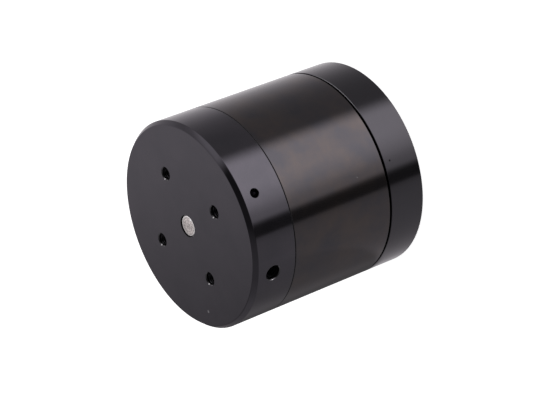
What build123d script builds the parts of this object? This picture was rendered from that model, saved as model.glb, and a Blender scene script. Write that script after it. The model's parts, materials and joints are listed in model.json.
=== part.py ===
# Underwater brushless outrunner motor. Millimetres, +Z along the motor's axis.
# The origin is the centre of the rear mounting face, the output face looks up,
# and +X runs through the grub-screw hole in the front cap.

from build123d import *
from math import asin, cos, degrees, radians, sin, tan
import os

# Outer shell
body_dia = 50.0
rear_base_len = 9.65
running_gap = 0.5
ring_len = 27.88
cap_len = 11.57
face_chamfer_axial = 1.07
face_chamfer_radial = 0.86
seam_break = 0.12
rear_edge_break = 0.3

# Flux ring and magnets
ring_wall = 2.5
magnet_count = 14
magnet_thickness = 2.5
magnet_side_gap = 0.6
magnet_front_gap = 0.6
magnet_rear_setback = 4.08
air_gap = 0.47
bond_gap = 0.03

# Front cap
cap_plate_thickness = 9.2
cap_spigot_wall = 2.2
cap_spigot_depth = 3.2
cap_hub_dia = 14.0
cap_hub_drop = 2.4
output_hole_count = 4
output_circle_dia = 26.1
output_first_angle = 45.0
output_hole_dia = 3.0
output_hole_depth = 6.5
hole_mouth_chamfer = 0.2
drill_point_angle = 118.0
grub_hole_dia = 3.7
grub_hole_from_face = 5.3
spanner_hole_dia = 2.2
spanner_hole_depth = 4.6
spanner_mouth_chamfer = 0.08
spanner_hole_from_face = 4.3
spanner_hole_angle = 45.0

# Shaft and what rides on it
shaft_dia = 5.0
shaft_front_recess = 0.2
shaft_rear_land = 0.75
shaft_end_chamfer = 0.15
shaft_flat_depth = 0.4
shaft_flat_len = 8.0
shaft_fit = 0.01
grub_len = 5.0
grub_fit = 0.03
grub_tip_gap = 0.02
grub_tip_dia = 2.4
grub_tip_len = 0.7
grub_socket_flats = 2.0
grub_socket_depth = 2.2
spacer_wall = 1.5
spacer_len = 1.6
washer_width = 1.5
washer_thickness = 0.5
thrust_gap = 0.05
circlip_stand_out = 0.9
circlip_thickness = 0.5
circlip_groove_depth = 0.35
circlip_groove_play = 0.03
circlip_opening_angle = 60.0

# Flanged bushes, water-lubricated
bush_dia = 10.0
bush_len = 10.0
bush_flange_width = 1.5
bush_flange_thickness = 1.2
bush_running_gap = 0.02

# Rear base
base_floor = 6.5
base_lip_rise = 2.3
base_lip_wall = 1.8
base_lip_gap = 0.4
mount_hole_count = 4
mount_circle_dia = 25.0
mount_first_angle = 45.0
mount_hole_dia = 3.0
mount_hole_skin = 1.3
outlet_flange_gap = 0.4
outlet_angle = 180.0
grommet_bore = 4.4
grommet_wall = 0.6
grommet_flange_width = 1.3
grommet_flange_thickness = 1.0
grommet_recess = 0.2
grommet_rise = 0.5

# Bearing tube and its screws
tube_dia = 16.0
tube_relief_depth = 0.5
tube_pilot_dia = 17.0
tube_pilot_recess = 0.3
rear_bush_recess = 2.1
tube_flange_thickness = 2.0
tube_shoulder_step = 1.0
tube_top_lip = 0.4
tube_screw_count = 4
tube_screw_dia = 2.5
tube_screw_len = 4.5
tube_screw_clearance = 0.1
tube_screw_end_room = 0.7
tube_screw_head_dia = 4.5
tube_screw_head_height = 1.4
tube_screw_head_room = 0.25
tube_screw_socket_flats = 1.5
tube_screw_socket_depth = 0.8
seat_gap = 0.01

# Stator core, insulators and coils
tooth_count = 12
core_end_setback = 1.0
yoke_wall = 2.8
tooth_width = 3.0
shoe_tip_thickness = 0.9
shoe_root_thickness = 1.7
slot_opening = 1.6
insulator_bore_gap = 0.3
insulator_thickness = 0.8
insulator_wall_height = 2.8
insulator_wall = 0.8
insulator_setback = 0.5
slot_liner = 0.3
coil_overhang = 2.6
coil_gap = 0.15
coil_shoe_gap = 0.49
coil_corner = 1.1

# Heights along the motor
ring_z0 = rear_base_len + running_gap
ring_z1 = ring_z0 + ring_len
motor_len = ring_z1 + cap_len
plate_z = motor_len - cap_plate_thickness
hub_z = plate_z - cap_hub_drop
spigot_z = ring_z1 - cap_spigot_depth
magnet_z0 = ring_z0 + magnet_rear_setback
magnet_z1 = spigot_z - magnet_front_gap
core_z0 = magnet_z0 + core_end_setback
core_z1 = magnet_z1 - core_end_setback
core_len = core_z1 - core_z0
rear_bush_z0 = tube_pilot_recess + rear_bush_recess
front_bush_z1 = hub_z - spacer_len - thrust_gap
tube_top_z = front_bush_z1 + tube_top_lip
flange_z = base_floor + tube_flange_thickness
washer_z1 = rear_bush_z0 - thrust_gap
washer_z0 = washer_z1 - washer_thickness
circlip_z = washer_z0 - circlip_thickness
shaft_z0 = circlip_z - shaft_rear_land
shaft_z1 = motor_len - shaft_front_recess
grub_z = motor_len - grub_hole_from_face

# Radii and reaches from the axis
body_r = body_dia / 2
shaft_r = shaft_dia / 2
groove_r = shaft_r - circlip_groove_depth
bush_flange_r = bush_dia / 2 + bush_flange_width
ring_r = body_r - ring_wall
magnet_outer_r = ring_r - bond_gap
magnet_inner_r = magnet_outer_r - magnet_thickness
core_r = magnet_inner_r - air_gap
tube_r = tube_dia / 2
shoulder_r = tube_r + tube_shoulder_step
yoke_r = tube_r + seat_gap + yoke_wall
tube_screw_head_r = tube_screw_head_dia / 2
tube_screw_circle_r = shoulder_r + tube_screw_head_room + tube_screw_head_r
tube_flange_r = tube_screw_circle_r + tube_screw_head_r + tube_screw_head_room
outlet_r = grommet_bore / 2 + grommet_wall
grommet_flange_r = outlet_r + grommet_flange_width
outlet_x = tube_flange_r + outlet_flange_gap + outlet_r
tooth_pitch = 360 / tooth_count
shoe_root_x = core_r - shoe_root_thickness
coil_x0 = yoke_r + coil_gap
coil_x1 = shoe_root_x - coil_shoe_gap

parts = {}


def turned(*points):
    """A turned piece from its half section, a closed run of radius and height pairs."""
    return revolve(Plane.XZ * make_face(Polyline(*points, close=True)), Axis.Z)


def tube(outer_r, inner_r, z0, z1):
    """A plain round tube between two heights."""
    return turned((inner_r, z0), (outer_r, z0), (outer_r, z1), (inner_r, z1))


def drill(radius, depth, mouth=hole_mouth_chamfer):
    """The negative of a drilled hole: mouth at the local origin, hole towards local -Z."""
    point = radius / tan(radians(drill_point_angle / 2))
    over = mouth
    return turned(
        (0, -depth - point),
        (radius, -depth),
        (radius, -mouth),
        (radius + mouth + over, over),
        (0, over),
    )


def hex_socket(flats, depth):
    """The negative of a hexagon socket, open at the local origin, towards local -Z."""
    return extrude(RegularPolygon(flats / 2, 6, major_radius=False), -depth)


def radial(angle, radius, z):
    """A place on a cylinder with its local +Z pointing outwards."""
    return Rot(0, 0, angle) * Pos(radius, 0, z) * Rot(0, 90, 0)


def group(solids):
    """Several separate solids kept as one part."""
    return Compound(children=[solid for item in solids for solid in item.solids()])


def front_cap():
    """The output cap: face plate, hub, spigot into the ring, and every hole in it."""
    spigot_r = ring_r - bond_gap
    spigot_inner_r = spigot_r - cap_spigot_wall
    hub_r = cap_hub_dia / 2
    cap = turned(
        (0, hub_z),
        (hub_r, hub_z),
        (hub_r, plate_z),
        (spigot_inner_r, plate_z),
        (spigot_inner_r, spigot_z),
        (spigot_r, spigot_z),
        (spigot_r, ring_z1),
        (body_r, ring_z1),
        (body_r, motor_len - face_chamfer_axial),
        (body_r - face_chamfer_radial, motor_len),
        (0, motor_len),
    )
    bore_r = shaft_r + shaft_fit
    cap -= turned(
        (0, hub_z),
        (bore_r, hub_z),
        (bore_r, motor_len - hole_mouth_chamfer),
        (bore_r + hole_mouth_chamfer, motor_len),
        (0, motor_len),
    )
    output_hole = Pos(0, 0, motor_len) * drill(output_hole_dia / 2, output_hole_depth)
    for place in PolarLocations(output_circle_dia / 2, output_hole_count, output_first_angle):
        cap -= place * output_hole
    cap -= radial(0, body_r, grub_z) * drill(grub_hole_dia / 2, body_r)
    spanner_z = motor_len - spanner_hole_from_face
    spanner_hole = drill(spanner_hole_dia / 2, spanner_hole_depth, spanner_mouth_chamfer)
    cap -= radial(spanner_hole_angle, body_r, spanner_z) * spanner_hole
    return cap


def flux_ring():
    """The steel tube that closes the magnets' circuit and joins cap to magnets."""
    return turned(
        (ring_r, ring_z0),
        (body_r - seam_break, ring_z0),
        (body_r, ring_z0 + seam_break),
        (body_r, ring_z1 - seam_break),
        (body_r - seam_break, ring_z1),
        (ring_r, ring_z1),
    )


def magnet():
    """One arc magnet, its middle on +X."""
    half = 180 / magnet_count - degrees(asin(magnet_side_gap / 2 / magnet_inner_r))
    outer = CenterArc((0, 0), magnet_outer_r, -half, 2 * half)
    inner = CenterArc((0, 0), magnet_inner_r, -half, 2 * half)
    sides = [Line(inner @ end, outer @ end) for end in (0, 1)]
    section = make_face([outer, inner] + sides)
    return Pos(0, 0, magnet_z0) * extrude(section, magnet_z1 - magnet_z0)


def shaft():
    """The shaft, with its circlip groove and the flat that the grub screw bears on."""
    body = turned(
        (0, shaft_z0),
        (shaft_r - shaft_end_chamfer, shaft_z0),
        (shaft_r, shaft_z0 + shaft_end_chamfer),
        (shaft_r, circlip_z - circlip_groove_play),
        (groove_r, circlip_z - circlip_groove_play),
        (groove_r, washer_z0),
        (shaft_r, washer_z0),
        (shaft_r, shaft_z1 - shaft_end_chamfer),
        (shaft_r - shaft_end_chamfer, shaft_z1),
        (0, shaft_z1),
    )
    flat = Box(shaft_dia, shaft_dia, shaft_flat_len, align=(Align.MIN, Align.CENTER, Align.MAX))
    return body - Pos(shaft_r - shaft_flat_depth, 0, shaft_z1) * flat


def shaft_grub_screw():
    """The set screw in the cap's rim hole, its tip on the shaft's flat."""
    radius = grub_hole_dia / 2 - grub_fit
    screw = turned(
        (0, 0),
        (grub_tip_dia / 2, 0),
        (radius, grub_tip_len),
        (radius, grub_len),
        (0, grub_len),
    )
    screw -= Pos(0, 0, grub_len) * hex_socket(grub_socket_flats, grub_socket_depth)
    tip_x = shaft_r - shaft_flat_depth + grub_tip_gap
    return radial(0, tip_x, grub_z) * screw


def circlip():
    """The open ring in the shaft's rear groove."""
    reach = 2 * (shaft_r + circlip_stand_out)
    half = radians(circlip_opening_angle / 2)
    clip = tube(reach / 2, groove_r + shaft_fit, circlip_z, washer_z0)
    mouth = make_face(
        Polyline(
            (0, 0),
            (reach, -reach * tan(half)),
            (reach, reach * tan(half)),
            close=True,
        )
    )
    return clip - Pos(0, 0, circlip_z) * extrude(mouth, circlip_thickness)


def bush():
    """A flanged bush with its flange on the plane z 0 and its body towards +Z."""
    bore_r = shaft_r + bush_running_gap
    return turned(
        (bore_r, 0),
        (bush_flange_r, 0),
        (bush_flange_r, bush_flange_thickness),
        (bush_dia / 2, bush_flange_thickness),
        (bush_dia / 2, bush_len),
        (bore_r, bush_len),
    )


def rear_base():
    """The fixed rear cap: mounting face, running lip, screw holes and cable outlet."""
    lip_outer_r = ring_r - base_lip_gap
    lip_inner_r = lip_outer_r - base_lip_wall
    lip_z = rear_base_len + base_lip_rise
    pilot_r = tube_pilot_dia / 2 + seat_gap
    base = turned(
        (pilot_r, 0),
        (body_r - rear_edge_break, 0),
        (body_r, rear_edge_break),
        (body_r, rear_base_len),
        (lip_outer_r, rear_base_len),
        (lip_outer_r, lip_z),
        (lip_inner_r, lip_z),
        (lip_inner_r, base_floor),
        (pilot_r, base_floor),
    )
    mount_hole_depth = base_floor - mount_hole_skin
    mount_hole = Rot(180, 0, 0) * drill(mount_hole_dia / 2, mount_hole_depth)
    for place in PolarLocations(mount_circle_dia / 2, mount_hole_count, mount_first_angle):
        base -= place * mount_hole
    thread_depth = tube_screw_len - tube_flange_thickness + tube_screw_end_room
    screw_hole = extrude(Circle(tube_screw_dia / 2 + seat_gap), -thread_depth)
    screw_hole = Pos(0, 0, base_floor) * screw_hole
    for place in PolarLocations(tube_screw_circle_r, tube_screw_count):
        base -= place * screw_hole
    return base - cable_way(seat_gap, lip_z)


def cable_way(gap, top_z):
    """The stepped round form of the cable outlet, grown by a gap."""
    step_z = grommet_recess + grommet_flange_thickness
    form = turned(
        (0, 0),
        (grommet_flange_r + gap, 0),
        (grommet_flange_r + gap, step_z),
        (outlet_r + gap, step_z),
        (outlet_r + gap, top_z),
        (0, top_z),
    )
    return Rot(0, 0, outlet_angle) * Pos(outlet_x, 0, 0) * form


def cable_grommet():
    """The rubber bush that the outlet's cable would pass through."""
    step_z = grommet_recess + grommet_flange_thickness
    top_z = base_floor + grommet_rise
    form = turned(
        (grommet_bore / 2, grommet_recess),
        (grommet_flange_r, grommet_recess),
        (grommet_flange_r, step_z),
        (outlet_r, step_z),
        (outlet_r, top_z),
        (grommet_bore / 2, top_z),
    )
    return Rot(0, 0, outlet_angle) * Pos(outlet_x, 0, 0) * form


def bearing_tube():
    """The tube that carries the core outside and a bush in each end."""
    pilot_r = tube_pilot_dia / 2
    bore_r = bush_dia / 2 + seat_gap
    relief_r = bush_dia / 2 + tube_relief_depth
    pocket_r = bush_flange_r + seat_gap
    body = turned(
        (pocket_r, tube_pilot_recess),
        (pilot_r, tube_pilot_recess),
        (pilot_r, base_floor),
        (tube_flange_r, base_floor),
        (tube_flange_r, flange_z),
        (shoulder_r, flange_z),
        (shoulder_r, core_z0),
        (tube_r, core_z0),
        (tube_r, tube_top_z),
        (pocket_r, tube_top_z),
        (pocket_r, front_bush_z1 - bush_flange_thickness),
        (bore_r, front_bush_z1 - bush_flange_thickness),
        (bore_r, front_bush_z1 - bush_len),
        (relief_r, front_bush_z1 - bush_len),
        (relief_r, rear_bush_z0 + bush_len),
        (bore_r, rear_bush_z0 + bush_len),
        (bore_r, rear_bush_z0 + bush_flange_thickness),
        (pocket_r, rear_bush_z0 + bush_flange_thickness),
    )
    hole_r = tube_screw_dia / 2 + tube_screw_clearance
    hole = Pos(0, 0, base_floor) * extrude(Circle(hole_r), tube_flange_thickness)
    for place in PolarLocations(tube_screw_circle_r, tube_screw_count):
        body -= place * hole
    return body


def tube_screws():
    """The socket screws that hold the tube's flange to the rear base."""
    head_r = tube_screw_head_r
    screw_r = tube_screw_dia / 2
    screw = turned(
        (0, -tube_screw_len),
        (screw_r, -tube_screw_len),
        (screw_r, 0),
        (head_r, 0),
        (head_r, tube_screw_head_height),
        (0, tube_screw_head_height),
    )
    socket = hex_socket(tube_screw_socket_flats, tube_screw_socket_depth)
    screw -= Pos(0, 0, tube_screw_head_height) * socket
    places = PolarLocations(tube_screw_circle_r, tube_screw_count)
    return group([place * Pos(0, 0, flange_z) * screw for place in places])


def lamination(outer_r, bore_r, half_tooth=tooth_width / 2):
    """The stator's cross section: yoke ring, teeth and pole shoes."""
    tip = radians(tooth_pitch / 2) - asin(slot_opening / 2 / core_r)
    tip_r = core_r - shoe_tip_thickness
    foot_x = (bore_r + yoke_r) / 2
    arc_points = [(outer_r * cos(turn), outer_r * sin(turn)) for turn in (-tip, 0, tip)]
    flank = [
        (tip_r * cos(tip), tip_r * sin(tip)),
        (shoe_root_x, half_tooth),
        (foot_x, half_tooth),
    ]
    mirrored = [(x, -y) for x, y in reversed(flank)]
    outline = Polyline(arc_points[2], *flank, *mirrored, arc_points[0])
    tooth = make_face([outline, ThreePointArc(*arc_points)])
    section = Circle(yoke_r) - Circle(bore_r)
    for place in PolarLocations(0, tooth_count):
        section += place * tooth
    return section


def stator_core():
    """The laminated core."""
    section = lamination(core_r, tube_r + seat_gap)
    return Pos(0, 0, core_z0) * extrude(section, core_len)


def insulator():
    """An end insulator on the plane z 0, growing to +Z, with its slot liners below."""
    bore_r = shoulder_r + insulator_bore_gap
    rim_r = core_r - insulator_setback
    wall_z = insulator_thickness + insulator_wall_height
    plate = lamination(rim_r, bore_r, tooth_width / 2 + slot_liner)
    body = extrude(plate, insulator_thickness)
    body += tube(yoke_r, yoke_r - insulator_wall, 0, wall_z)
    half = tooth_pitch / 2 - degrees(asin(slot_opening / 2 / core_r))
    outer = CenterArc((0, 0), rim_r, -half, 2 * half)
    inner = CenterArc((0, 0), rim_r - insulator_wall, -half, 2 * half)
    sides = [Line(inner @ end, outer @ end) for end in (0, 1)]
    wall = extrude(make_face([outer, inner] + sides), wall_z)
    for place in PolarLocations(0, tooth_count):
        body += place * wall
    return body + slot_liners()


def slot_liners():
    """The thin sleeves that reach from an end insulator to the middle of the core."""
    liner_x0 = yoke_r - slot_liner
    width = tooth_width + 2 * slot_liner
    blank = Pos((liner_x0 + shoe_root_x) / 2, 0) * Rectangle(shoe_root_x - liner_x0, width)
    sheet = Sketch()
    for place in PolarLocations(0, tooth_count):
        sheet += place * blank
    sheet -= lamination(core_r, tube_r + seat_gap)
    return extrude(sheet, -core_len / 2)


def coil():
    """One coil round the tooth on +X, its sides following the middle of each slot."""
    slope = tan(radians(tooth_pitch / 2))
    half_0 = coil_x0 * slope - coil_gap
    half_1 = coil_x1 * slope - coil_gap
    window_height = core_len + 2 * insulator_thickness
    height = window_height + 2 * coil_overhang
    plan = Polyline(
        (coil_x0, -half_0),
        (coil_x1, -half_1),
        (coil_x1, half_1),
        (coil_x0, half_0),
        close=True,
    )
    block = extrude(make_face(plan), height / 2, both=True)
    long_edges = block.edges().filter_by(Axis.Z, reverse=True).filter_by(Axis.Y, reverse=True)
    block = chamfer(long_edges, coil_corner)
    window = Plane.YZ.offset(coil_x0) * Rectangle(tooth_width + 2 * slot_liner, window_height)
    block -= extrude(window, coil_x1 - coil_x0)
    return Pos(0, 0, (core_z0 + core_z1) / 2) * block


def build():
    """Every part, by name."""
    parts["front_cap"] = front_cap()
    parts["flux_ring"] = flux_ring()
    for index in range(magnet_count):
        turn = Rot(0, 0, 360 / magnet_count * index)
        parts[f"magnet_{index + 1:02d}"] = turn * magnet()
    parts["shaft"] = shaft()
    parts["shaft_grub_screw"] = shaft_grub_screw()
    parts["spacer_sleeve"] = tube(
        shaft_r + spacer_wall, shaft_r + shaft_fit, front_bush_z1 + thrust_gap, hub_z
    )
    parts["thrust_washer"] = tube(
        shaft_r + washer_width, shaft_r + shaft_fit, washer_z0, washer_z1
    )
    parts["shaft_circlip"] = circlip()
    parts["front_bush"] = Pos(0, 0, front_bush_z1) * Rot(180, 0, 0) * bush()
    parts["rear_bush"] = Pos(0, 0, rear_bush_z0) * bush()
    parts["rear_base"] = rear_base()
    parts["cable_grommet"] = cable_grommet()
    parts["bearing_tube"] = bearing_tube()
    parts["tube_screws"] = tube_screws()
    parts["stator_core"] = stator_core()
    parts["front_insulator"] = Pos(0, 0, core_z1) * insulator()
    parts["rear_insulator"] = Pos(0, 0, core_z0) * Rot(180, 0, 0) * insulator()
    for index in range(tooth_count):
        parts[f"coil_{index + 1:02d}"] = Rot(0, 0, tooth_pitch * index) * coil()


build()
os.makedirs("parts", exist_ok=True)
for name, shape in parts.items():
    export_step(shape, f"parts/{name}.step")
print("motor length", round(motor_len, 3), "parts", len(parts))
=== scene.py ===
# Looks of an underwater brushless motor: a black anodised front cap with four tapped
# output holes round a flush steel shaft end, a blackened steel ring, and a black
# anodised rear base behind a running gap. Metres, +Z along the motor's axis.

import json
from math import ceil, cos, pi, radians, sin, tan

import bpy
from mathutils import Matrix, Vector


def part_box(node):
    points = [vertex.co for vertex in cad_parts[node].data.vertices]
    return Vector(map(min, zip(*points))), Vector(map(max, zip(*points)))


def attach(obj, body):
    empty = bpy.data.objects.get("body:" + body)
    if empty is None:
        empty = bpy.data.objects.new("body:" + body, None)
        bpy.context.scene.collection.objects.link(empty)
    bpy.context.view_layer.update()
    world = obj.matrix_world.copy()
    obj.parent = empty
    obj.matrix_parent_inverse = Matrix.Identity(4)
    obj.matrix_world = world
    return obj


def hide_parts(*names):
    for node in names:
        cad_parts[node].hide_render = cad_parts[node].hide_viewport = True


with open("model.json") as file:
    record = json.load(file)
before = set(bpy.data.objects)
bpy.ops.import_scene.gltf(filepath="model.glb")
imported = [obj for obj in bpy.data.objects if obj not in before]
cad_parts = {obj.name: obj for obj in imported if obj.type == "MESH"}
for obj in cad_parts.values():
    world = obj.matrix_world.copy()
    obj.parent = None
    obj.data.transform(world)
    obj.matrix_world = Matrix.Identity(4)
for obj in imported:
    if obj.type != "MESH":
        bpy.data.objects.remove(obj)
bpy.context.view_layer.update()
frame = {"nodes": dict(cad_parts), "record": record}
MM = 0.001

# Gaps and fits between the pieces. Each side of the running gap is eased back a little.
RUNNING_GAP = 0.5 * MM
GAP_EASE = 0.06 * MM
SEAM_GAP = 0.06 * MM
BOND_GAP = 0.03 * MM
SHAFT_FIT = 0.01 * MM
GROMMET_FIT = 0.01 * MM

# Front cap
FACE_CHAMFER_AXIAL = 1.07 * MM
FACE_CHAMFER_RADIAL = 0.86 * MM
EDGE_SOFTNESS = 0.12 * MM
SEAM_BREAK = 0.15 * MM
CAP_PLATE = 9.2 * MM
CAP_SPIGOT_WALL = 2.2 * MM
CAP_HUB_R = 7.0 * MM
CAP_HUB_DROP = 2.4 * MM
OUTPUT_DEPTH = 6.5 * MM
GRUB_R = 1.85 * MM
GRUB_FROM_FACE = 5.3 * MM
SPANNER_R = 1.1 * MM
SPANNER_FROM_FACE = 4.3 * MM
SPANNER_DEPTH = 4.6 * MM
SPANNER_CHAMFER = 0.08 * MM
SPANNER_ANGLE = 45.0
DOT_RING_R = 20.66 * MM
DOT_ANGLE = -62.7
DOT_R = 0.42 * MM
DOT_DEPTH = 0.12 * MM

# Ring
RING_WALL = 2.5 * MM
RING_REAR_BREAK = 0.05 * MM

# Rear base
BASE_FLOOR = 6.5 * MM
BASE_LIP_GAP = 0.4 * MM
BASE_LIP_WALL = 1.8 * MM
REAR_EDGE_BREAK = 0.3 * MM
MOUNT_DEPTH = 5.2 * MM
TUBE_PILOT_R = 8.51 * MM
TUBE_PILOT_BREAK = 0.1 * MM

# Small nicks on the side, each at an angle and a height
NICK_R = 0.36 * MM
NICK_DEPTH = 0.2 * MM
BASE_NICK = (35.7, 7.9 * MM)
RING_FLECK = (33.9, 17.9 * MM)

# Shaft
SHAFT_FLAT_DEPTH = 0.4 * MM
SHAFT_FLAT_LEN = 8.0 * MM
SHAFT_FLAT_START = 1.5 * MM
SHAFT_CHAMFER = 0.15 * MM
SHAFT_EDGE_SOFTNESS = 0.05 * MM
GROOVE_R = 2.15 * MM

# Rubber bush in the cable outlet
GROMMET_FLANGE = 1.0 * MM
GROMMET_SHOULDER = 1.3 * MM
GROMMET_LIP_SOFTNESS = 0.25 * MM
GROMMET_STEP_SOFTNESS = 0.05 * MM
GROMMET_END_SOFTNESS = 0.15 * MM

# Drilled and tapped holes
MOUTH_CHAMFER = 0.2 * MM
DRILL_POINT = tan(radians(59))
COARSE_PITCH = 0.7 * MM
FINE_PITCH = 0.5 * MM
THREAD_DEPTH = 0.16 * MM
THREAD_CLEARANCE = 0.02 * MM
THREAD_FLANK = 1.25
THREAD_START = 0.3 * MM
GRUB_THREAD_START = 0.6 * MM
HOLE_ANGLES = [45, 135, 225, 315]

# Fineness of the meshes, and how far a cutter reaches past what it cuts
TURN_STEPS = 384
SMALL_TURN_STEPS = 128
HOLE_STEPS = 64
DOT_STEPS = 24
SOFT_STEPS = 4
THREAD_ROWS_PER_TURN = 8
ON_AXIS = 1e-9
SHARP_ANGLE = 28.0
FLAT_FACE_WEIGHT = 80
DRILL_OVERRUN = 0.3 * MM
OUTLET_OVERRUN = 1.0 * MM

# Heights and radii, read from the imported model
cap_low, cap_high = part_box("front_cap")
ring_low, ring_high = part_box("flux_ring")
base_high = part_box("rear_base")[1]
shaft_low, shaft_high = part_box("shaft")
clip_low, clip_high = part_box("shaft_circlip")
grub_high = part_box("shaft_grub_screw")[1]
grommet_low, grommet_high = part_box("cable_grommet")
mounts = {mount["name"]: mount for mount in frame["record"]["mounts"]}
output_holes = mounts["output_holes"]["dims"]
rear_holes = mounts["rear_mount_holes"]["dims"]
body_r = cap_high.x
shaft_r = -shaft_low.x
motor_len = cap_high.z
grub_z = motor_len - GRUB_FROM_FACE
ring_front_z = ring_high.z - SEAM_GAP
ring_rear_z = ring_low.z + GAP_EASE
base_front_z = ring_low.z - RUNNING_GAP - GAP_EASE
grommet_x = (grommet_low.x + grommet_high.x) / 2
grommet_flange_r = (grommet_high.y - grommet_low.y) / 2
grommet_waist_r = grommet_flange_r - GROMMET_SHOULDER
grommet_step_z = grommet_low.z + GROMMET_FLANGE


# Mesh helpers

def soften(corners):
    """The outline of a half section, from corners of radius, height and softness."""
    outline = []
    count = len(corners)
    for index, (r, z, softness) in enumerate(corners):
        here = Vector((r, z))
        if softness == 0:
            outline.append(here)
            continue
        before = (Vector(corners[index - 1][:2]) - here).normalized() * softness
        after = (Vector(corners[(index + 1) % count][:2]) - here).normalized() * softness
        for step in range(SOFT_STEPS + 1):
            t = step / SOFT_STEPS
            outline.append(here + before * (1 - t) ** 2 + after * t ** 2)
    return outline


def mesh_object(name, points, faces):
    """An object in the scene from points and faces."""
    mesh = bpy.data.meshes.new(name)
    mesh.from_pydata([tuple(point) for point in points], [], faces)
    mesh.validate()
    piece = bpy.data.objects.new(name, mesh)
    bpy.context.scene.collection.objects.link(piece)
    return piece


def lathe(name, corners, steps=TURN_STEPS):
    """A closed turned body about Z from its softened half section."""
    outline = soften(corners)
    points = []
    rows = []
    for spot in outline:
        if spot.x < ON_AXIS:
            rows.append([len(points)])
            points.append((0, 0, spot.y))
            continue
        rows.append(list(range(len(points), len(points) + steps)))
        for step in range(steps):
            turn = 2 * pi * step / steps
            points.append((spot.x * cos(turn), spot.x * sin(turn), spot.y))
    faces = []
    for lower, upper in zip(rows, rows[1:] + rows[:1]):
        for step in range(steps):
            ahead = (step + 1) % steps
            if len(lower) == 1 and len(upper) == 1:
                break
            if len(lower) == 1:
                faces.append((lower[0], upper[ahead], upper[step]))
            elif len(upper) == 1:
                faces.append((lower[step], lower[ahead], upper[0]))
            else:
                faces.append((lower[step], lower[ahead], upper[ahead], upper[step]))
    return mesh_object(name, points, faces)


def place(piece, matrix):
    """Moves a piece's mesh, so that its object stays at the origin."""
    piece.data.transform(matrix)
    return piece


def joined(name, pieces):
    """One object from several."""
    points = []
    faces = []
    for piece in pieces:
        start = len(points)
        points += [vertex.co.copy() for vertex in piece.data.vertices]
        faces += [tuple(start + i for i in face.vertices) for face in piece.data.polygons]
        bpy.data.objects.remove(piece)
    return mesh_object(name, points, faces)


def baked(piece, modifier_type, **settings):
    """Applies one modifier to a piece."""
    modifier = piece.modifiers.new(modifier_type.title(), modifier_type)
    for key, value in settings.items():
        setattr(modifier, key, value)
    state = bpy.context.evaluated_depsgraph_get()
    mesh = bpy.data.meshes.new_from_object(piece.evaluated_get(state))
    piece.modifiers.clear()
    piece.data = mesh
    return piece


def cut(piece, cutters):
    """Takes the cutters out of a piece."""
    tool = joined("cutter", cutters)
    baked(piece, "BOOLEAN", object=tool, operation="DIFFERENCE", solver="EXACT")
    bpy.data.objects.remove(tool)
    return piece


def finish_shading(piece):
    """Smooth shading with crisp edges, and flat faces that stay flat."""
    piece.data.shade_smooth()
    piece.data.set_sharp_from_angle(angle=radians(SHARP_ANGLE))
    return baked(piece, "WEIGHTED_NORMAL", keep_sharp=True, weight=FLAT_FACE_WEIGHT)


def drill(radius, depth, mouth=MOUTH_CHAMFER):
    """The negative of a drilled hole, its mouth at the origin and its depth towards -Z."""
    return lathe("drill", [
        (0, -depth - radius / DRILL_POINT, 0),
        (radius, -depth, 0),
        (radius, -mouth, 0),
        (radius + mouth, 0, 0),
        (radius + mouth + DRILL_OVERRUN, DRILL_OVERRUN, 0),
        (0, DRILL_OVERRUN, 0),
    ], HOLE_STEPS)


def punch(radius, depth):
    """The negative of a shallow punched dot or nick, its mouth at the origin."""
    over = depth / 2
    return lathe("punch", [(0, -depth, 0), (radius, over, 0), (0, over, 0)], DOT_STEPS)


def thread(radius, pitch, top, bottom):
    """A tapped hole's screw thread about Z, as a thin sleeve between two heights."""
    crest_r = radius - THREAD_DEPTH
    root_r = radius - THREAD_CLEARANCE
    rows = ceil((top - bottom) / pitch * THREAD_ROWS_PER_TURN)
    points = []
    for row in range(rows + 1):
        z = bottom + (top - bottom) * row / rows
        for step in range(HOLE_STEPS):
            phase = ((z / pitch) - step / HOLE_STEPS) % 1
            ridge = max(0, 1 - abs(2 * phase - 1) * THREAD_FLANK)
            fade = min(1, (top - z) / pitch)
            r = root_r - (root_r - crest_r) * ridge * fade
            turn = 2 * pi * step / HOLE_STEPS
            points.append((r * cos(turn), r * sin(turn), z))
    for z in (top, bottom):
        for step in range(HOLE_STEPS):
            turn = 2 * pi * step / HOLE_STEPS
            points.append((radius * cos(turn), radius * sin(turn), z))
    faces = []
    for row in range(rows + 2):
        here = row * HOLE_STEPS
        above = here + HOLE_STEPS
        for step in range(HOLE_STEPS):
            ahead = (step + 1) % HOLE_STEPS
            faces.append((here + ahead, here + step, above + step, above + ahead))
    last = (rows + 2) * HOLE_STEPS
    for step in range(HOLE_STEPS):
        ahead = (step + 1) % HOLE_STEPS
        faces.append((last + ahead, last + step, step, ahead))
    return mesh_object("thread", points, faces)


def upright(angle, radius, z):
    """A place at an angle and a radius about the axis, local +Z along the axis."""
    return Matrix.Rotation(radians(angle), 4, "Z") @ Matrix.Translation((radius, 0, z))


def outward(angle, radius, z):
    """A place on the side of the motor, local +Z pointing outwards."""
    return upright(angle, radius, z) @ Matrix.Rotation(pi / 2, 4, "Y")


def hole_places(pattern, z):
    """The four places of a bolt pattern at a height, local +Z along the axis."""
    return [upright(angle, pattern["pcd_mm"] / 2 * MM, z) for angle in HOLE_ANGLES]


# Outer pieces

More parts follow.
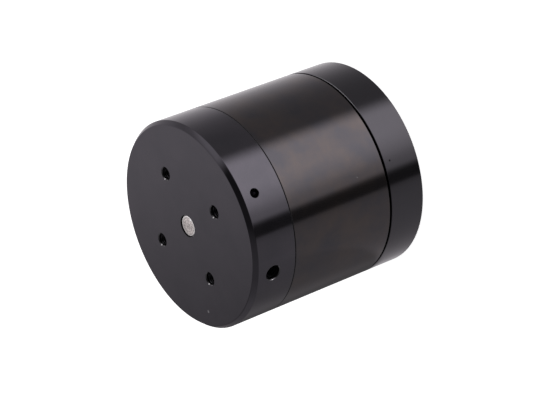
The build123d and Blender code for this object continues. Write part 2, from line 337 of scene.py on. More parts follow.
def make_cap():
    """The front cap with its tapped output holes, rim holes and a small punched dot."""
    spigot_r = body_r - RING_WALL - BOND_GAP
    plate_z = motor_len - CAP_PLATE
    bore_r = shaft_r + SHAFT_FIT
    hub_z = plate_z - CAP_HUB_DROP
    cap = lathe("cap_shell", [
        (bore_r, hub_z, 0),
        (CAP_HUB_R, hub_z, 0),
        (CAP_HUB_R, plate_z, 0),
        (spigot_r - CAP_SPIGOT_WALL, plate_z, 0),
        (spigot_r - CAP_SPIGOT_WALL, cap_low.z, 0),
        (spigot_r, cap_low.z, 0),
        (spigot_r, ring_high.z, 0),
        (body_r, ring_high.z, SEAM_BREAK),
        (body_r, motor_len - FACE_CHAMFER_AXIAL, EDGE_SOFTNESS),
        (body_r - FACE_CHAMFER_RADIAL, motor_len, EDGE_SOFTNESS),
        (bore_r + MOUTH_CHAMFER, motor_len, 0),
        (bore_r, motor_len - MOUTH_CHAMFER, 0),
    ])
    radius = output_holes["hole_r_mm"] * MM
    spots = hole_places(output_holes, motor_len)
    grub_spot = outward(0, body_r, grub_z)
    spanner_spot = outward(SPANNER_ANGLE, body_r, motor_len - SPANNER_FROM_FACE)
    dot_spot = upright(DOT_ANGLE, DOT_RING_R, motor_len)
    cutters = [place(drill(radius, OUTPUT_DEPTH), spot) for spot in spots]
    cutters.append(place(drill(GRUB_R, body_r - shaft_r), grub_spot))
    cutters.append(place(drill(SPANNER_R, SPANNER_DEPTH, SPANNER_CHAMFER), spanner_spot))
    cutters.append(place(punch(DOT_R, DOT_DEPTH), dot_spot))
    cut(cap, cutters)
    threads = [
        place(thread(radius, FINE_PITCH, -THREAD_START, -OUTPUT_DEPTH), spot) for spot in spots
    ]
    grub_thread = thread(GRUB_R, COARSE_PITCH, -GRUB_THREAD_START, grub_high.x - body_r)
    threads.append(place(grub_thread, grub_spot))
    return finish_shading(cap), finish_shading(joined("cap_threads", threads))


def make_ring():
    """The steel ring between the cap and the running gap, with one fleck on its side."""
    inner_r = body_r - RING_WALL
    ring = lathe("ring_shell", [
        (inner_r, ring_rear_z, RING_REAR_BREAK),
        (body_r, ring_rear_z, RING_REAR_BREAK),
        (body_r, ring_front_z, SEAM_BREAK),
        (inner_r, ring_front_z, 0),
    ])
    angle, z = RING_FLECK
    cut(ring, [place(punch(NICK_R, NICK_DEPTH), outward(angle, body_r, z))])
    return finish_shading(ring)


def make_base():
    """The rear base with its lip, mounting holes, cable outlet and one nick on its side."""
    lip_outer_r = body_r - RING_WALL - BASE_LIP_GAP
    lip_inner_r = lip_outer_r - BASE_LIP_WALL
    base = lathe("base_shell", [
        (TUBE_PILOT_R, 0, TUBE_PILOT_BREAK),
        (body_r, 0, REAR_EDGE_BREAK),
        (body_r, base_front_z, SEAM_BREAK),
        (lip_outer_r, base_front_z, 0),
        (lip_outer_r, base_high.z, SEAM_BREAK),
        (lip_inner_r, base_high.z, SEAM_BREAK),
        (lip_inner_r, BASE_FLOOR, 0),
        (TUBE_PILOT_R, BASE_FLOOR, 0),
    ])
    radius = rear_holes["hole_r_mm"] * MM
    over_turn = Matrix.Rotation(pi, 4, "X")
    spots = [spot @ over_turn for spot in hole_places(rear_holes, 0)]
    cutters = [place(drill(radius, MOUNT_DEPTH), spot) for spot in spots]
    outlet = lathe("outlet", [
        (0, -OUTLET_OVERRUN, 0),
        (grommet_flange_r + GROMMET_FIT, -OUTLET_OVERRUN, 0),
        (grommet_flange_r + GROMMET_FIT, grommet_step_z, 0),
        (grommet_waist_r + GROMMET_FIT, grommet_step_z, 0),
        (grommet_waist_r + GROMMET_FIT, BASE_FLOOR + OUTLET_OVERRUN, 0),
        (0, BASE_FLOOR + OUTLET_OVERRUN, 0),
    ], SMALL_TURN_STEPS)
    cutters.append(place(outlet, Matrix.Translation((grommet_x, 0, 0))))
    angle, z = BASE_NICK
    cutters.append(place(punch(NICK_R, NICK_DEPTH), outward(angle, body_r, z)))
    cut(base, cutters)
    threads = [
        place(thread(radius, FINE_PITCH, -THREAD_START, -MOUNT_DEPTH), spot) for spot in spots
    ]
    return finish_shading(base), finish_shading(joined("base_threads", threads))


def make_shaft():
    """The shaft: chamfered ends, circlip groove, and the flat under the grub screw.

    The flat starts a little below the shaft's end, which is a full circle.
    """
    shaft = lathe("shaft_bar", [
        (0, shaft_low.z, 0),
        (shaft_r - SHAFT_CHAMFER, shaft_low.z, SHAFT_EDGE_SOFTNESS),
        (shaft_r, shaft_low.z + SHAFT_CHAMFER, SHAFT_EDGE_SOFTNESS),
        (shaft_r, clip_low.z, 0),
        (GROOVE_R, clip_low.z, 0),
        (GROOVE_R, clip_high.z, 0),
        (shaft_r, clip_high.z, 0),
        (shaft_r, shaft_high.z - SHAFT_CHAMFER, SHAFT_EDGE_SOFTNESS),
        (shaft_r - SHAFT_CHAMFER, shaft_high.z, SHAFT_EDGE_SOFTNESS),
        (0, shaft_high.z, 0),
    ], SMALL_TURN_STEPS)
    flat_x = shaft_r - SHAFT_FLAT_DEPTH
    low = Vector((flat_x, -2 * shaft_r, shaft_high.z - SHAFT_FLAT_LEN))
    high = Vector((2 * shaft_r, 2 * shaft_r, shaft_high.z - SHAFT_FLAT_START))
    corners = [
        (x, y, z) for x in (low.x, high.x) for y in (low.y, high.y) for z in (low.z, high.z)
    ]
    sides = [(0, 1, 3, 2), (4, 6, 7, 5), (0, 4, 5, 1), (2, 3, 7, 6), (0, 2, 6, 4), (1, 5, 7, 3)]
    cut(shaft, [mesh_object("mill", corners, sides)])
    return finish_shading(shaft)


def make_grommet():
    """The rubber bush in the cable outlet, with rounded lips."""
    bore_r = mounts["cable_outlet"]["dims"]["r_mm"] * MM
    grommet = lathe("outlet_grommet", [
        (bore_r, grommet_low.z, GROMMET_LIP_SOFTNESS),
        (grommet_flange_r, grommet_low.z, GROMMET_LIP_SOFTNESS),
        (grommet_flange_r, grommet_step_z, GROMMET_STEP_SOFTNESS),
        (grommet_waist_r, grommet_step_z, 0),
        (grommet_waist_r, grommet_high.z, GROMMET_END_SOFTNESS),
        (bore_r, grommet_high.z, GROMMET_END_SOFTNESS),
    ], SMALL_TURN_STEPS)
    place(grommet, Matrix.Translation((grommet_x, 0, 0)))
    return finish_shading(grommet)


# Materials

class Nodes:
    """A node tree with short calls for the nodes used here."""

    def __init__(self, tree):
        self.tree = tree
        tree.nodes.clear()

    def feed(self, socket, value):
        """Joins an input to another node's output, or gives it a value of its own."""
        if isinstance(value, bpy.types.NodeSocket):
            self.tree.links.new(value, socket)
        else:
            socket.default_value = value

    def set(self, node, **inputs):
        """Feeds a node's inputs by name."""
        for name, value in inputs.items():
            self.feed(node.inputs[name.replace("_", " ")], value)

    def add(self, kind, **inputs):
        """A new node with its inputs fed."""
        node = self.tree.nodes.new(kind)
        self.set(node, **inputs)
        return node

    def math(self, operation, first, second=0.0):
        """A sum on two outputs or numbers."""
        node = self.tree.nodes.new("ShaderNodeMath")
        node.operation = operation
        self.feed(node.inputs[0], first)
        self.feed(node.inputs[1], second)
        return node.outputs["Value"]

    def vector_math(self, operation, first, second=(0, 0, 0)):
        """A sum on two vectors, as a node."""
        node = self.tree.nodes.new("ShaderNodeVectorMath")
        node.operation = operation
        self.feed(node.inputs[0], first)
        self.feed(node.inputs[1], second)
        return node

    def along(self, vector, axis):
        """How far a vector reaches along an axis."""
        return self.vector_math("DOT_PRODUCT", vector, axis).outputs["Value"]

    def axes(self, vector):
        """The three parts of a vector."""
        return self.add("ShaderNodeSeparateXYZ", Vector=vector).outputs

    def spread(self, value, low, high, start=0.35, end=0.65, curve="LINEAR"):
        """Maps a range of values, by default a texture's middle, to another range."""
        node = self.add(
            "ShaderNodeMapRange", Value=value, From_Min=start, From_Max=end, To_Min=low, To_Max=high)
        node.interpolation_type = curve
        return node.outputs["Result"]

    def mix(self, data_type, share, first, second):
        """A mix of two numbers or two colours."""
        node = self.tree.nodes.new("ShaderNodeMix")
        node.data_type = data_type
        self.set(node, Factor=share, A=first, B=second)
        return node.outputs["Result"]


class Finish(Nodes):
    """A material's nodes round one shader."""

    def __init__(self, name):
        self.material = bpy.data.materials.new(name)
        self.material.use_nodes = True
        super().__init__(self.material.node_tree)
        self.shader = self.add("ShaderNodeBsdfPrincipled")
        self.output = self.add("ShaderNodeOutputMaterial", Surface=self.shader.outputs["BSDF"])

    def look(self, **inputs):
        """Feeds the shader. What is the same all over the surface is a value on its socket."""
        self.set(self.shader, **inputs)

    def blend(self, share, first, second):
        """Shows a mix of two shaders in place of the plain one."""
        mix = self.add("ShaderNodeMixShader", Fac=share)
        self.feed(mix.inputs[1], first.outputs[0])
        self.feed(mix.inputs[2], second.outputs[0])
        self.set(self.output, Surface=mix.outputs["Shader"])

    def place(self):
        """The place on the motor."""
        return self.add("ShaderNodeTexCoord").outputs["Object"]

    def lathe_place(self):
        """Radius and height, so that a texture runs round the axis as tool marks do."""
        parts = self.axes(self.place())
        square = self.math(
            "ADD", self.math("POWER", parts["X"], 2.0), self.math("POWER", parts["Y"], 2.0))
        vector = self.add("ShaderNodeCombineXYZ", X=self.math("SQRT", square), Z=parts["Z"])
        return vector.outputs["Vector"]

    def noise(self, place, scale, detail=3.0, roughness=0.5):
        """Smooth noise, its scale in waves per metre."""
        node = self.add(
            "ShaderNodeTexNoise", Vector=place, Scale=scale, Detail=detail, Roughness=roughness)
        return node.outputs["Fac"]

    def tones(self, share, dark, pale):
        """A colour between two tones."""
        return self.mix("RGBA", share, (*dark, 1), (*pale, 1))

    def tone_towards(self, colour, share, tone):
        """A colour that turns to another tone by a share."""
        return self.mix("RGBA", share, colour, (*tone, 1))

    def side_of(self, angle, near, far):
        """One on the body's side round an angle, fading to zero between two spans each way."""
        way = (cos(radians(angle)), sin(radians(angle)), 0)
        return self.spread(
            self.along(self.place(), way), 0, 1,
            body_r * cos(radians(far)), body_r * cos(radians(near)))

    def round_line(self, start, axis, radius):
        """One within a radius of a line that runs from a point along an axis, else zero."""
        away = self.vector_math("SUBTRACT", self.place(), start).outputs["Vector"]
        across = self.vector_math("CROSS_PRODUCT", away, axis).outputs["Vector"]
        length = self.vector_math("LENGTH", across).outputs["Value"]
        near = self.math("LESS_THAN", length, radius)
        return self.math("MULTIPLY", near, self.math("GREATER_THAN", self.along(away, axis)))

    def spotted(self, colour, spots):
        """A colour with round spots of other tones, each a start, an axis, a radius and a tone."""
        for start, axis, radius, tone in spots:
            colour = self.tone_towards(colour, self.round_line(start, axis, radius), tone)
        return colour

    def bump(self, height, distance, strength=1.0):
        """A bumped surface."""
        node = self.add("ShaderNodeBump", Strength=strength, Distance=distance, Height=height)
        return node.outputs["Normal"]


# Black finishes: dark and pale tones, and the pattern that they share
CAP_TONES = ((0.0555, 0.0527, 0.0610), (0.0630, 0.0587, 0.0677))
BASE_TONES = ((0.0490, 0.0465, 0.0515), (0.0515, 0.0490, 0.0550))
RING_TONES = ((0.0520, 0.0495, 0.0553), (0.0680, 0.0581, 0.0568))
EDGE_TINT = (0.90, 0.88, 0.90)
CLOUD_DETAIL = 7.0
CLOUD_SHARPNESS = 0.62
CLOUD_ROUGHENING = 0.008
MARKS_SCALE = 9000.0
MARKS_ROUGHENING = 0.006
GRAIN_SCALE = 5200.0
GRAIN_DEPTH = 0.0004 * MM
FINE_DETAIL = 2.0
SOFT_BUMP = 0.5

# The base's front edge, paler along part of its round: partly rubbed wear and partly a painted
# highlight
WEAR_AND_HIGHLIGHT_TONE = (0.22, 0.215, 0.23)
WEAR_AND_HIGHLIGHT_WIDTH = SEAM_BREAK
WEAR_AND_HIGHLIGHT_FULL_WIDTH = SEAM_BREAK * 0.6
WEAR_AND_HIGHLIGHT_ANGLE = 88.0
WEAR_AND_HIGHLIGHT_NEAR = 14.0
WEAR_AND_HIGHLIGHT_FAR = 24.0

# The edges of the seam between cap and ring: duller, and darker in colour as painted shade at the
# seam
SEAM_SHADE_TONE = (0.036, 0.035, 0.037)
MATTE_ROUGHNESS = 0.45
SEAM_SHADE_WIDTH = SEAM_BREAK
SEAM_SHADE_FULL_WIDTH = SEAM_BREAK * 0.8

# Spots: rubbed hole mouths, each with a painted glint, the punched dot, nicks, painted shade round
# the shaft and in the base's nick, and a painted glint on the shaft
RUBBED_MOUTH = (0.085, 0.082, 0.088)
RUBBED_DOT = (0.25, 0.245, 0.255)
RUBBED_FLECK = (0.14, 0.136, 0.14)
# Painted shade, in the base's nick and in the gap round the shaft's end
PAINTED_SHADE_TONE = (0.010, 0.010, 0.010)
DOT_TONED_R = DOT_R * 0.8
NICK_TONED_R = NICK_R * 0.6
# Painted glints on the edges of the hole mouths
PAINTED_HOLE_GLINT = (0.60, 0.59, 0.60)
PAINTED_GRUB_GLINT = (0.26, 0.255, 0.26)
PAINTED_GLINT_R = 0.18 * MM
PAINTED_GLINT_TURN = -98.0
# A painted glint on the edge of the shaft's end
PAINTED_SHAFT_GLINT = (1.0, 1.0, 1.0)
GLINT_R = 0.32 * MM
GLINT_ANGLE = 73.0
GLINT_INSET = 0.3 * MM

# The ground shaft end, brighter along its broken edge: partly bright ground metal and partly a
# painted highlight
SHAFT_TONES = ((0.36, 0.332, 0.322), (0.88, 0.81, 0.785))
SHAFT_ROUGHNESS = 0.32
SHAFT_MARKS_SCALE = 4200.0
SHAFT_CLOUD_SCALE = 2100.0
BRIGHT_RIM = (0.92, 0.90, 0.89)
RIM_WIDTH = 0.33 * MM
RIM_FADE = 0.05 * MM

# Plain metals: dark tone, pale tone and roughness
METALS = {
    # The tapped threads are darker than the black finish round them: painted shade deep in the
    # holes.
    "tapped": ((0.02, 0.02, 0.022), (0.05, 0.05, 0.055), 0.3),
    "screw_steel": ((0.02, 0.02, 0.022), (0.05, 0.05, 0.053), 0.4),
    "washer_steel": ((0.4, 0.4, 0.4), (0.6, 0.6, 0.6), 0.3),
    "spring_steel": ((0.2, 0.19, 0.19), (0.33, 0.32, 0.32), 0.35),
    "tube_aluminium": ((0.55, 0.55, 0.56), (0.72, 0.72, 0.73), 0.3),
    "magnet_nickel": ((0.5, 0.48, 0.45), (0.64, 0.62, 0.58), 0.25),
}
METAL_MARKS_DEPTH = 0.002 * MM
METAL_MARKS_FLOOR = 0.3
METAL_SMOOTHER = 0.05
METAL_ROUGHER = 0.06

# Plastics and rubber: dark tone, pale tone and roughness
MOULDINGS = {
    "grommet_rubber": ((0.014, 0.014, 0.014), (0.026, 0.026, 0.026), 0.6),
    "insulator_nylon": ((0.66, 0.64, 0.58), (0.78, 0.76, 0.71), 0.45),
    "bush_polymer": ((0.15, 0.15, 0.145), (0.23, 0.23, 0.22), 0.4),
}
EGGSHELL_SCALE = 2500.0
EGGSHELL_DETAIL = 4.0
EGGSHELL_DEPTH = 0.01 * MM
EGGSHELL_ROUGHENING = 0.06
MOULDED_CLOUD_SCALE = 250.0

# Wound wire and stacked sheets. A wave's length is pi / 10 over its scale.
WIRE_SCALE = 620.0
WIRE_TONES = ((0.16, 0.045, 0.02), (0.62, 0.24, 0.09))
WIRE_DEPTH = 0.12 * MM
WIRE_CLOUD_SCALE = 900.0
WIRE_CLOUD_FLOOR = 0.7
WIRE_ROUGHNESS = (0.24, 0.34)
SHEET_SCALE = 630.0
SHEET_TONES = ((0.09, 0.09, 0.1), (0.3, 0.3, 0.32))
SHEET_DEPTH = 0.04 * MM
SHEET_GRAIN_SCALE = 1800.0
SHEET_GRAIN_FLOOR = 0.6
SHEET_ROUGHNESS = (0.34, 0.46)


def satin_black(
        name, tones, roughness, marks_depth, cloud_scale, spots=(), wear_and_highlight_z=None, dull_shade_z=None):
    """A black metal finish: cloudy tone, fine grain and faint turning marks.

    Along a front edge at the given height, on part of its round, the colour turns paler: partly
    rubbed wear and partly a painted highlight. Between the two heights given for the seam, an edge
    turns rougher and darker, from nothing at the first to fully so at the second and past it; the
    darkening is painted shade at the seam.
    """
    finish = Finish(name)
    spot = finish.place()
    clouds = finish.noise(spot, cloud_scale, CLOUD_DETAIL, CLOUD_SHARPNESS)
    turned = finish.noise(finish.lathe_place(), MARKS_SCALE, FINE_DETAIL)
    grain = finish.noise(spot, GRAIN_SCALE, FINE_DETAIL)
    height = finish.axes(spot)["Z"]
    colour = finish.tones(finish.spread(clouds, 0, 1), *tones)
    # A paler front edge on part of its round: partly rubbed wear and partly a painted highlight.
    if wear_and_highlight_z is not None:
        wear_and_highlight = finish.math(
            "MULTIPLY", finish.side_of(WEAR_AND_HIGHLIGHT_ANGLE, WEAR_AND_HIGHLIGHT_NEAR, WEAR_AND_HIGHLIGHT_FAR),
            finish.spread(height, 0, 1, wear_and_highlight_z - WEAR_AND_HIGHLIGHT_WIDTH, wear_and_highlight_z - WEAR_AND_HIGHLIGHT_FULL_WIDTH))
        colour = finish.tone_towards(colour, wear_and_highlight, WEAR_AND_HIGHLIGHT_TONE)
    colour = finish.spotted(colour, spots)
    rough = finish.math(
        "ADD", finish.spread(clouds, roughness - CLOUD_ROUGHENING, roughness + CLOUD_ROUGHENING),
        finish.spread(turned, -MARKS_ROUGHENING, MARKS_ROUGHENING))
    # Seam edges: rougher, and darker in colour as painted shade at the seam.
    if dull_shade_z is not None:
        dull_shade = finish.spread(height, 0, 1, *dull_shade_z)
        colour = finish.tone_towards(colour, dull_shade, SEAM_SHADE_TONE)
        rough = finish.math("ADD", rough, finish.math("MULTIPLY", dull_shade, MATTE_ROUGHNESS))
    grained = finish.bump(grain, GRAIN_DEPTH, SOFT_BUMP)
    marked = finish.bump(turned, marks_depth, SOFT_BUMP)
    finish.set(marked.node, Normal=grained)
    finish.look(
        Base_Color=colour, Roughness=rough, Normal=marked, Metallic=0.95, IOR=1.5,
        Specular_Tint=(*EDGE_TINT, 1))
    return finish.material


def bare_metal(
        name, dark, pale, roughness, marks_scale=6000.0, cloud_scale=700.0, cloud_floor=0.7,
        rim_r=None, spots=()):
    """Turned or ground metal with tone and roughness that follow the tool.

    A bar's end is brighter beyond the radius rim_r, where its edge is broken: partly bright ground
    metal and partly a painted highlight.
    """
    finish = Finish(name)
    turned = finish.noise(finish.lathe_place(), marks_scale)
    clouds = finish.noise(finish.place(), cloud_scale)
    tone = finish.math(
        "MULTIPLY", finish.spread(turned, METAL_MARKS_FLOOR, 1),
        finish.spread(clouds, cloud_floor, 1))
    colour = finish.tones(tone, dark, pale)
    # Paler rim: partly bright ground metal and partly a painted highlight.
    if rim_r is not None:
        radius = finish.axes(finish.lathe_place())["X"]
        rim = finish.spread(radius, 0, 1, rim_r, rim_r + RIM_FADE)
        colour = finish.tone_towards(colour, rim, BRIGHT_RIM)
    finish.look(
        Base_Color=finish.spotted(colour, spots),
        Roughness=finish.spread(clouds, roughness - METAL_SMOOTHER, roughness + METAL_ROUGHER),
        Normal=finish.bump(turned, METAL_MARKS_DEPTH), Metallic=1.0)
    return finish.material


def moulded(name, dark, pale, roughness):
    """Moulded plastic or rubber with a fine eggshell surface."""
    finish = Finish(name)
    grain = finish.noise(finish.place(), EGGSHELL_SCALE, EGGSHELL_DETAIL)
    clouds = finish.noise(finish.place(), MOULDED_CLOUD_SCALE, FINE_DETAIL)
    smoothest = roughness - EGGSHELL_ROUGHENING
    roughest = roughness + EGGSHELL_ROUGHENING
    finish.look(
        Base_Color=finish.tones(finish.spread(clouds, 0, 1), dark, pale),
        Roughness=finish.spread(grain, smoothest, roughest),
        Normal=finish.bump(grain, EGGSHELL_DEPTH, SOFT_BUMP))
    return finish.material


def wound_wire(name):
    """Enamelled copper wire under clear resin, its turns lying across the motor's axis."""
    finish = Finish(name)
    wave = finish.add(
        "ShaderNodeTexWave", Vector=finish.lathe_place(), Scale=WIRE_SCALE, Distortion=0.6,
        Detail=1.0)
    wave.bands_direction = "X"
    ridges = wave.outputs["Fac"]
    clouds = finish.noise(finish.place(), WIRE_CLOUD_SCALE)
    # Darker in the grooves between turns: painted shade.
    tone = finish.math("MULTIPLY", ridges, finish.spread(clouds, WIRE_CLOUD_FLOOR, 1))
    finish.look(
        Base_Color=finish.tones(tone, *WIRE_TONES),
        Roughness=finish.spread(clouds, *WIRE_ROUGHNESS),
        Normal=finish.bump(ridges, WIRE_DEPTH), Metallic=1.0, Coat_Weight=0.6,
        Coat_Roughness=0.12)
    return finish.material


def stacked_sheets(name):
    """Lacquered laminations, half a millimetre each."""
    finish = Finish(name)
    wave = finish.add("ShaderNodeTexWave", Vector=finish.place(), Scale=SHEET_SCALE)
    wave.bands_direction = "Z"
    ridges = wave.outputs["Fac"]
    grain = finish.noise(finish.place(), SHEET_GRAIN_SCALE)
    tone = finish.math("MULTIPLY", ridges, finish.spread(grain, SHEET_GRAIN_FLOOR, 1))
    finish.look(
        Base_Color=finish.tones(tone, *SHEET_TONES),
        Roughness=finish.spread(grain, *SHEET_ROUGHNESS),
        Normal=finish.bump(ridges, SHEET_DEPTH), Metallic=0.9)
    return finish.material


def mouth_spots(start, axis, radius, glint_way, glint_tone):
    """A hole's mouth, faintly rubbed all round, with one painted glint on its edge."""
    return [
        (start, axis, radius + MOUTH_CHAMFER, RUBBED_MOUTH),
        # A painted glint on the mouth's edge.
        (start + glint_way * (radius + MOUTH_CHAMFER / 2), axis, PAINTED_GLINT_R, glint_tone),
    ]


def cap_spots():
    """The toned places on the cap: hole mouths with painted glints, the punched dot, and painted
    shade round the shaft.
    """
    up = Vector((0, 0, 1))
    glint_way = Vector((cos(radians(PAINTED_GLINT_TURN)), sin(radians(PAINTED_GLINT_TURN)), 0))
    spots = []
    for spot in hole_places(output_holes, cap_low.z):
        radius = output_holes["hole_r_mm"] * MM
        spots += mouth_spots(spot.translation, up, radius, glint_way, PAINTED_HOLE_GLINT)
    dot = upright(DOT_ANGLE, DOT_RING_R, cap_low.z).translation
    spots.append((dot, up, DOT_TONED_R, RUBBED_DOT))
    grub_start = Vector((shaft_r * 2, 0, grub_z))
    grub_glint_way = Vector((0, -1, 0))
    spots += mouth_spots(grub_start, Vector((1, 0, 0)), GRUB_R, grub_glint_way, PAINTED_GRUB_GLINT)
    # Painted shade in the gap round the shaft's end.
    spots.append((Vector((0, 0, cap_low.z)), up, shaft_r + MOUTH_CHAMFER, PAINTED_SHADE_TONE))
    return spots


def nick_spot(nick, tone):
    """The toned middle of a nick on the side: painted shade in the base's nick, a paler rubbed fleck
    on the ring.
    """
    angle, z = nick
    start = outward(angle, body_r / 2, z)
    return start.translation, start.col[2].xyz, NICK_TONED_R, tone


def make_materials():
    """Every finish, by the record's slot name, and the finish of the tapped threads."""
    finishes = {name: bare_metal(name, *look) for name, look in METALS.items()}
    finishes.update({name: moulded(name, *look) for name, look in MOULDINGS.items()})
    finishes["winding_copper"] = wound_wire("winding_copper")
    finishes["core_steel"] = stacked_sheets("core_steel")
    # A painted glint on the edge of the shaft's end.
    glint = upright(GLINT_ANGLE, shaft_r - GLINT_INSET, cap_low.z).translation
    finishes["shaft_steel"] = bare_metal(
        "shaft_steel", *SHAFT_TONES, SHAFT_ROUGHNESS,
        marks_scale=SHAFT_MARKS_SCALE, cloud_scale=SHAFT_CLOUD_SCALE, cloud_floor=0,
        rim_r=shaft_r - RIM_WIDTH, spots=[(glint, Vector((0, 0, 1)), GLINT_R, PAINTED_SHAFT_GLINT)])
    finishes["cap_anodised"] = satin_black(
        "cap_anodised", CAP_TONES, roughness=0.10, marks_depth=0.0002 * MM, cloud_scale=130.0,
        spots=cap_spots(), dull_shade_z=(ring_high.z + SEAM_SHADE_WIDTH, ring_high.z + SEAM_SHADE_FULL_WIDTH))
    # The base: painted shade in its nick, and a paler front edge, partly wear and partly a painted
    # highlight.
    finishes["base_anodised"] = satin_black(
        "base_anodised", BASE_TONES, roughness=0.125, marks_depth=0.0002 * MM, cloud_scale=70.0,
        spots=[nick_spot(BASE_NICK, PAINTED_SHADE_TONE)], wear_and_highlight_z=base_front_z)
    finishes["blackened_steel"] = satin_black(
        "blackened_steel", RING_TONES, roughness=0.115, marks_depth=0.0003 * MM, cloud_scale=150.0,
        spots=[nick_spot(RING_FLECK, RUBBED_FLECK)],
        dull_shade_z=(ring_front_z - SEAM_SHADE_WIDTH, ring_front_z - SEAM_SHADE_FULL_WIDTH))
    return finishes


# Stage, light and camera

# The photograph's up and right, as directions square to the motor's axis
SKY_UP = Vector((-0.1077, 0.9939, 0))
SKY_RIGHT = Vector((0.9939, 0.1077, 0))
WORLD_TINT = (1.0, 0.978, 1.0, 1)

FLOOR_HALF = 6.0
FLOOR_Z = -0.02 * MM
FLOOR_TONE = (0.8, 0.8, 0.8, 1)
FLOOR_GLOW = 0.9

CARD_X = (-0.08, 0.12)
CARD_Y = -0.04
CARD_NEAR_Z = -0.009
CARD_FADE = 0.003
CARD_FAR_Z = -0.3
CARD_LEVEL = 0.62

# Light level by the height of a direction, from straight down at -1 to straight up at 1. The
# first pair holds for directions towards the motor's rear, and the second pair for those ahead
# of its face. Each pair has the lamp's side, on the right, and the far side.
REAR_LAMP_SIDE = [
    (-1.0, 0.40), (-0.84, 0.37), (-0.79, 0.45), (-0.68, 0.53), (-0.50, 0.60), (-0.30, 0.60),
    (-0.14, 0.55), (-0.06, 0.46), (-0.02, 0.07), (0.13, 0.07), (0.17, 0.26), (0.225, 1.05),
    (0.30, 1.15), (0.36, 1.38), (0.45, 1.90), (0.55, 2.35), (0.65, 2.65), (1.0, 2.65),
]
REAR_FAR_SIDE = [
    (-1.0, 0.36), (-0.85, 0.34), (-0.80, 0.24), (-0.76, 0.15), (-0.68, 0.10), (-0.60, 0.12),
    (-0.53, 0.30), (-0.46, 0.60), (-0.38, 0.84), (-0.24, 0.88), (-0.11, 0.90), (0.0, 0.90),
    (0.13, 0.86), (0.25, 0.78), (0.36, 0.69), (0.45, 0.59), (0.54, 0.51), (0.63, 0.45),
    (0.75, 0.40), (1.0, 0.40),
]
FRONT_LAMP_SIDE = [
    (-1.0, 0.60), (-0.93, 0.56), (-0.83, 0.44), (-0.65, 0.34), (-0.42, 0.33), (-0.15, 0.24),
    (0.10, 0.09), (0.38, 0.08), (0.65, 0.05), (0.76, 0.08), (1.0, 0.6),
]
FRONT_FAR_SIDE = [
    (-1.0, 0.50), (-0.92, 0.40), (-0.84, 0.22), (-0.66, 0.20), (-0.60, 0.34), (-0.54, 0.40),
    (-0.50, 0.67), (-0.47, 0.92), (-0.43, 0.98), (-0.30, 0.94), (0.35, 0.80), (0.54, 0.62),
    (0.66, 0.70), (0.78, 1.25), (1.0, 1.3),
]

# Where one side turns into the other, and the rear pair into the front pair
REAR_SIDES_MEET = (-0.07, 0.2)
FRONT_SIDES_MEET = (-0.12, 0.2)
REAR_MEETS_FRONT = (-0.45, 0.3)

# A ramp holds levels as shares of this one, which is above them all
TOP_LEVEL = 2.9

CAMERA_PLACE = Vector((0.34725, 0.30636, 0.32311))
CAMERA_RIGHT = Vector((0.617876, 0.067840, -0.783344))
CAMERA_UP = Vector((-0.474117, 0.826918, -0.302355))
CAMERA_BACK = Vector((0.627250, 0.558215, 0.543097))
CAMERA_LENS = 151.30
CAMERA_SENSOR = 36.0
CAMERA_NEAR = 0.01
CAMERA_FAR = 50.0


def hide_from(piece, rays):
    """Hides a piece from kinds of rays."""
    for ray in rays:
        setattr(piece, "visible_" + ray, False)


def make_floor():
    """A wide white floor just under the motor, which only the camera sees, and only from above."""
    low, high = -FLOOR_HALF, FLOOR_HALF
    corners = [(low, low), (high, low), (high, high), (low, high)]
    floor = mesh_object("floor", [(x, y, FLOOR_Z) for x, y in corners], [(0, 1, 2, 3)])
    finish = Finish("floor_white")
    finish.look(
        Base_Color=FLOOR_TONE, Roughness=1.0, Specular_IOR_Level=0.0,
        Emission_Color=(1, 1, 1, 1), Emission_Strength=FLOOR_GLOW)
    underside = finish.add("ShaderNodeNewGeometry").outputs["Backfacing"]
    finish.blend(underside, finish.shader, finish.add("ShaderNodeBsdfTransparent"))
    floor.data.materials.append(finish.material)
    hide_from(floor, ("diffuse", "glossy", "transmission", "shadow", "volume_scatter"))


def make_table_card():
    """The lit table beyond the motor's rear end, which the side of the base reflects."""
    rows = (CARD_NEAR_Z, CARD_NEAR_Z - CARD_FADE, CARD_FAR_Z)
    points = [(x, CARD_Y, z) for z in rows for x in CARD_X]
    card = mesh_object("table_card", points, [(0, 1, 3, 2), (2, 3, 5, 4)])
    finish = Finish("table_card_light")
    emission = finish.add("ShaderNodeEmission", Color=WORLD_TINT, Strength=CARD_LEVEL)
    z = finish.axes(finish.place())["Z"]
    lit = finish.spread(z, 0, 1, CARD_NEAR_Z, CARD_NEAR_Z - CARD_FADE)
    finish.blend(lit, finish.add("ShaderNodeBsdfTransparent"), emission)
    card.data.materials.append(finish.material)
    hide_from(card, ("camera", "diffuse", "transmission", "shadow", "volume_scatter"))


def level_curve(nodes, height, stops):
    """Light level over a direction's height, straight between (height, level) pairs."""
    share = nodes.spread(height, 0, 1, -1, 1)
    ramp = nodes.add("ShaderNodeValToRGB", Fac=share)
    elements = ramp.color_ramp.elements
    while len(elements) < len(stops):
        elements.new(0.5)
    for element, (stop, level) in zip(elements, stops):
        grey = level / TOP_LEVEL
        element.position = (stop + 1) / 2
        element.color = (grey, grey, grey, 1)
    return nodes.math("MULTIPLY", ramp.outputs["Color"], TOP_LEVEL)


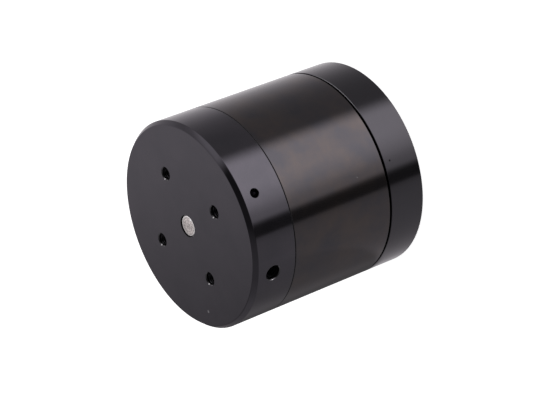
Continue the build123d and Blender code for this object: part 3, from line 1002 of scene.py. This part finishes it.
def make_world():
    """The studio that the motor reflects, which the camera itself sees as plain white.

    It has a table, a large soft lamp high on one side, and a darker room.
    """
    world = bpy.data.worlds.new("studio")
    bpy.context.scene.world = world
    world.use_nodes = True
    nodes = Nodes(world.node_tree)
    direction = nodes.add("ShaderNodeTexCoord").outputs["Generated"]
    height = nodes.along(direction, SKY_UP)
    right = nodes.along(direction, SKY_RIGHT)
    forward = nodes.along(direction, (0, 0, 1))

    def change(value, meeting, first, second):
        share = nodes.spread(value, 0, 1, *meeting, curve="SMOOTHSTEP")
        return nodes.mix("FLOAT", share, first, second)

    rear = change(
        right, REAR_SIDES_MEET,
        level_curve(nodes, height, REAR_FAR_SIDE), level_curve(nodes, height, REAR_LAMP_SIDE))
    front = change(
        right, FRONT_SIDES_MEET,
        level_curve(nodes, height, FRONT_FAR_SIDE), level_curve(nodes, height, FRONT_LAMP_SIDE))
    level = change(forward, REAR_MEETS_FRONT, rear, front)
    camera_ray = nodes.add("ShaderNodeLightPath").outputs["Is Camera Ray"]
    strength = nodes.mix("FLOAT", camera_ray, level, 1.0)
    background = nodes.add("ShaderNodeBackground", Color=WORLD_TINT, Strength=strength)
    nodes.add("ShaderNodeOutputWorld", Surface=background.outputs["Background"])


def make_camera():
    """The photograph's viewpoint, rolled so that the motor lies on its side."""
    data = bpy.data.cameras.new("camera")
    data.lens = CAMERA_LENS
    data.sensor_width = CAMERA_SENSOR
    data.clip_start = CAMERA_NEAR
    data.clip_end = CAMERA_FAR
    camera = bpy.data.objects.new("camera", data)
    turn = Matrix((CAMERA_RIGHT, CAMERA_UP, CAMERA_BACK)).transposed().to_4x4()
    camera.matrix_world = Matrix.Translation(CAMERA_PLACE) @ turn
    bpy.context.scene.collection.objects.link(camera)
    bpy.context.scene.camera = camera


def dress(piece, body, slot, material, *nodes):
    """Gives a new piece its body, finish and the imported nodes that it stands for."""
    piece.data.materials.clear()
    piece.data.materials.append(material)
    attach(piece, body)
    if nodes:
        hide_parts(*nodes)


def build():
    """The dressed motor on its stage."""
    make_camera()
    make_world()
    make_floor()
    make_table_card()
    finishes = make_materials()
    for part in frame["record"]["subparts"]:
        data = frame["nodes"][part["node"]].data
        data.materials.clear()
        data.materials.append(finishes[part["material_slot"]])
    cap, cap_threads = make_cap()
    base, base_threads = make_base()
    dress(cap, "rotor", "cap_anodised", finishes["cap_anodised"], "front_cap")
    dress(cap_threads, "rotor", "cap_anodised", finishes["tapped"])
    dress(make_ring(), "rotor", "blackened_steel", finishes["blackened_steel"], "flux_ring")
    dress(base, "stator", "base_anodised", finishes["base_anodised"], "rear_base")
    dress(base_threads, "stator", "base_anodised", finishes["tapped"])
    dress(make_shaft(), "rotor", "shaft_steel", finishes["shaft_steel"], "shaft")
    dress(make_grommet(), "stator", "grommet_rubber", finishes["grommet_rubber"], "cable_grommet")
    bpy.context.scene.view_settings.view_transform = "Standard"


build()
bpy.context.view_layer.update()
